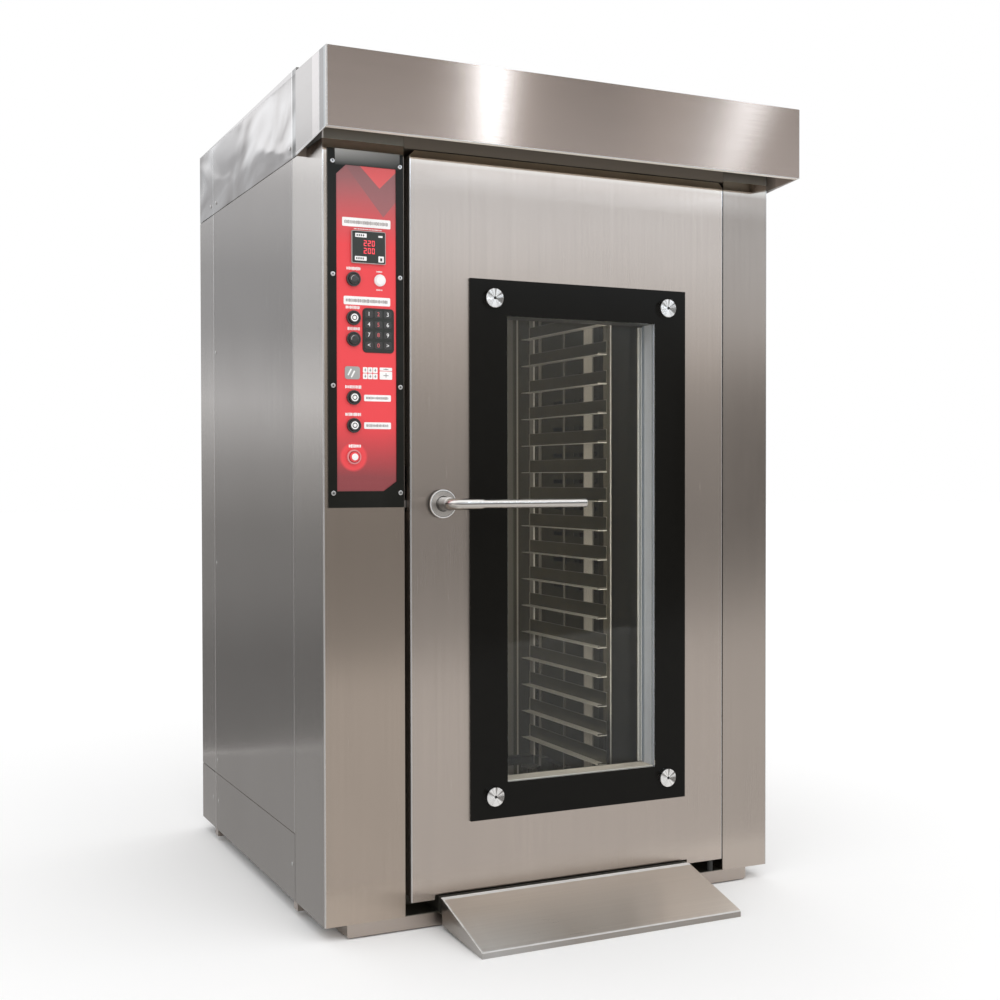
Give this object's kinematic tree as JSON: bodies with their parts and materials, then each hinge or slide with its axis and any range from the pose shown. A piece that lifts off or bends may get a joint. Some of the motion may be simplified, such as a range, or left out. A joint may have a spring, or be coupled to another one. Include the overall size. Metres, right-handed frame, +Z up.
{
  "type": "rotating rack oven",
  "caption": "Floor-standing rotating rack oven with a glazed side-hinged door, side control panel, steam hood and a lift-off ramp for the tray rack.",
  "frame": {"origin": "on the floor, under the middle of the object's bounding box", "axes": "+Z up, +X to the right seen from the front, the front faces -Y"},
  "size_m": [1.25, 1.394, 2.062],
  "materials": {
    "frame_steel": "satin stainless bars",
    "front_steel": "brushed stainless, vertical grain",
    "side_steel": "brushed stainless sheet",
    "hood_steel": "brushed stainless, long grain",
    "door_steel": "brushed stainless, vertical grain",
    "chamber_steel": "heat-tinted stainless",
    "door_liner_steel": "bright stainless",
    "mineral_wool": "mineral wool slab",
    "heater_steel": "oxidised sheath",
    "machine_steel": "machined steel",
    "motor_paint": "dark paint",
    "rack_steel": "stainless tube and sheet",
    "castor_steel": "pressed steel",
    "castor_tread": "heat-proof resin",
    "lamp_glass": "frosted lamp glass",
    "black_glass": "tempered glass with a black border",
    "clear_glass": "clear glass",
    "polished_steel": "turned stainless",
    "handle_steel": "satin stainless tube",
    "black_seal": "silicone seal",
    "black_border": "gloss black plate",
    "red_overlay": "printed red film",
    "black_plastic": "moulded black plastic",
    "button_black": "moulded black plastic",
    "button_red": "moulded red plastic",
    "indicator_white": "white lens",
    "ramp_steel": "brushed stainless, long grain"
  },
  "bodies": {
    "cabinet": {"body_frame": "frame_steel", "levelling_feet": "frame_steel", "chamber_floor": "chamber_steel", "left_front_post": "front_steel", "right_front_post": "front_steel", "left_side_panel": "side_steel", "right_side_panel": "side_steel", "left_kick_panel": "side_steel", "right_kick_panel": "side_steel", "rear_corner_posts": "side_steel", "rear_panel": "side_steel", "roof_cover": "side_steel", "hood_shell": "hood_steel", "chamber_liner": "chamber_steel", "chamber_ceiling": "chamber_steel", "insulation": "mineral_wool", "duct_wall": "chamber_steel", "heating_elements": "heater_steel", "fan_motor": "motor_paint", "drive_gearmotor": "motor_paint", "oven_lamp": "lamp_glass", "electrics_tray": "motor_paint", "hinge_pivots": "machine_steel", "panel_frame": "black_border", "panel_overlay": "red_overlay", "display_module": "black_plastic", "keypad": "black_plastic", "button_bezels": "black_plastic", "indicator_lamp": "indicator_white", "panel_screws": "polished_steel"},
    "door": {"door_shell": "door_steel", "door_skirts": "door_steel", "door_liner": "door_liner_steel", "door_insulation": "mineral_wool", "outer_glass": "black_glass", "inner_glass": "clear_glass", "glass_caps": "polished_steel", "door_gasket": "black_seal", "handle_rose": "polished_steel"},
    "handle": {"handle_lever": "handle_steel", "latch_arm": "machine_steel"},
    "rack": {"drive_shaft": "machine_steel", "platform": "chamber_steel", "rack_frame": "rack_steel", "rack_runners": "rack_steel", "fixed_castor_forks": "castor_steel"},
    "fan": {"fan_impeller": "machine_steel"},
    "left_castor": {"swivel_fork_left": "castor_steel"},
    "right_castor": {"swivel_fork_right": "castor_steel"},
    "front_left_wheel": {"wheel_front_left": "castor_tread"},
    "front_right_wheel": {"wheel_front_right": "castor_tread"},
    "rear_left_wheel": {"wheel_rear_left": "castor_tread"},
    "rear_right_wheel": {"wheel_rear_right": "castor_tread"},
    "start_key": {"start_button": "button_black"},
    "light_key": {"light_button": "button_black"},
    "steam_key": {"steam_button": "button_black"},
    "fan_key": {"fan_button": "button_black"},
    "damper_key": {"damper_button": "button_black"},
    "stop_key": {"stop_button": "button_red"},
    "ramp": {"ramp": "ramp_steel"}
  },
  "joints": [
    {"name": "door_hinge", "type": "hinge", "parent": "cabinet", "child": "door", "pos_m": [0.433, -0.443, 0.9], "axis": [0, 0, 1], "range_deg": [0, 120]},
    {"name": "handle_turn", "type": "hinge", "parent": "door", "child": "handle", "pos_m": [-0.316, -0.453, 0.982], "axis": [0, 1, 0], "range_deg": [0, 60], "stiffness_Nm_per_rad": 4, "springref_deg": -45.84},
    {"name": "rack_turn", "type": "hinge", "parent": "cabinet", "child": "rack", "pos_m": [0.012, 0.127, 0.9], "axis": [0, 0, 1], "continuous": true},
    {"name": "fan_spin", "type": "hinge", "parent": "cabinet", "child": "fan", "pos_m": [0.012, 0.402, 1.79], "axis": [0, 0, 1], "continuous": true},
    {"name": "left_castor_swivel", "type": "hinge", "parent": "rack", "child": "left_castor", "pos_m": [-0.268, -0.048, 0.15], "axis": [0, 0, 1], "continuous": true},
    {"name": "right_castor_swivel", "type": "hinge", "parent": "rack", "child": "right_castor", "pos_m": [0.292, -0.048, 0.15], "axis": [0, 0, 1], "continuous": true},
    {"name": "front_left_roll", "type": "hinge", "parent": "left_castor", "child": "front_left_wheel", "pos_m": [-0.268, -0.07, 0.1103], "axis": [1, 0, 0], "continuous": true},
    {"name": "front_right_roll", "type": "hinge", "parent": "right_castor", "child": "front_right_wheel", "pos_m": [0.292, -0.07, 0.1103], "axis": [1, 0, 0], "continuous": true},
    {"name": "rear_left_roll", "type": "hinge", "parent": "rack", "child": "rear_left_wheel", "pos_m": [-0.268, 0.302, 0.1103], "axis": [1, 0, 0], "continuous": true},
    {"name": "rear_right_roll", "type": "hinge", "parent": "rack", "child": "rear_right_wheel", "pos_m": [0.292, 0.302, 0.1103], "axis": [1, 0, 0], "continuous": true},
    {"name": "stop_press", "type": "slide", "parent": "cabinet", "child": "stop_key", "axis": [0, 1, 0], "range_m": [0, 0.003], "stiffness_N_per_m": 400, "springref_m": -0.002},
    {"name": "damper_press", "type": "slide", "parent": "cabinet", "child": "damper_key", "axis": [0, 1, 0], "range_m": [0, 0.003], "stiffness_N_per_m": 400, "springref_m": -0.002},
    {"name": "fan_press", "type": "slide", "parent": "cabinet", "child": "fan_key", "axis": [0, 1, 0], "range_m": [0, 0.003], "stiffness_N_per_m": 400, "springref_m": -0.002},
    {"name": "steam_press", "type": "slide", "parent": "cabinet", "child": "steam_key", "axis": [0, 1, 0], "range_m": [0, 0.003], "stiffness_N_per_m": 400, "springref_m": -0.002},
    {"name": "light_press", "type": "slide", "parent": "cabinet", "child": "light_key", "axis": [0, 1, 0], "range_m": [0, 0.003], "stiffness_N_per_m": 400, "springref_m": -0.002},
    {"name": "start_press", "type": "slide", "parent": "cabinet", "child": "start_key", "axis": [0, 1, 0], "range_m": [0, 0.003], "stiffness_N_per_m": 400, "springref_m": -0.002},
    {"name": "ramp_lift", "type": "slide", "parent": "cabinet", "child": "ramp", "axis": [0, 0, 1], "range_m": [0, 0.045]}
  ]
}
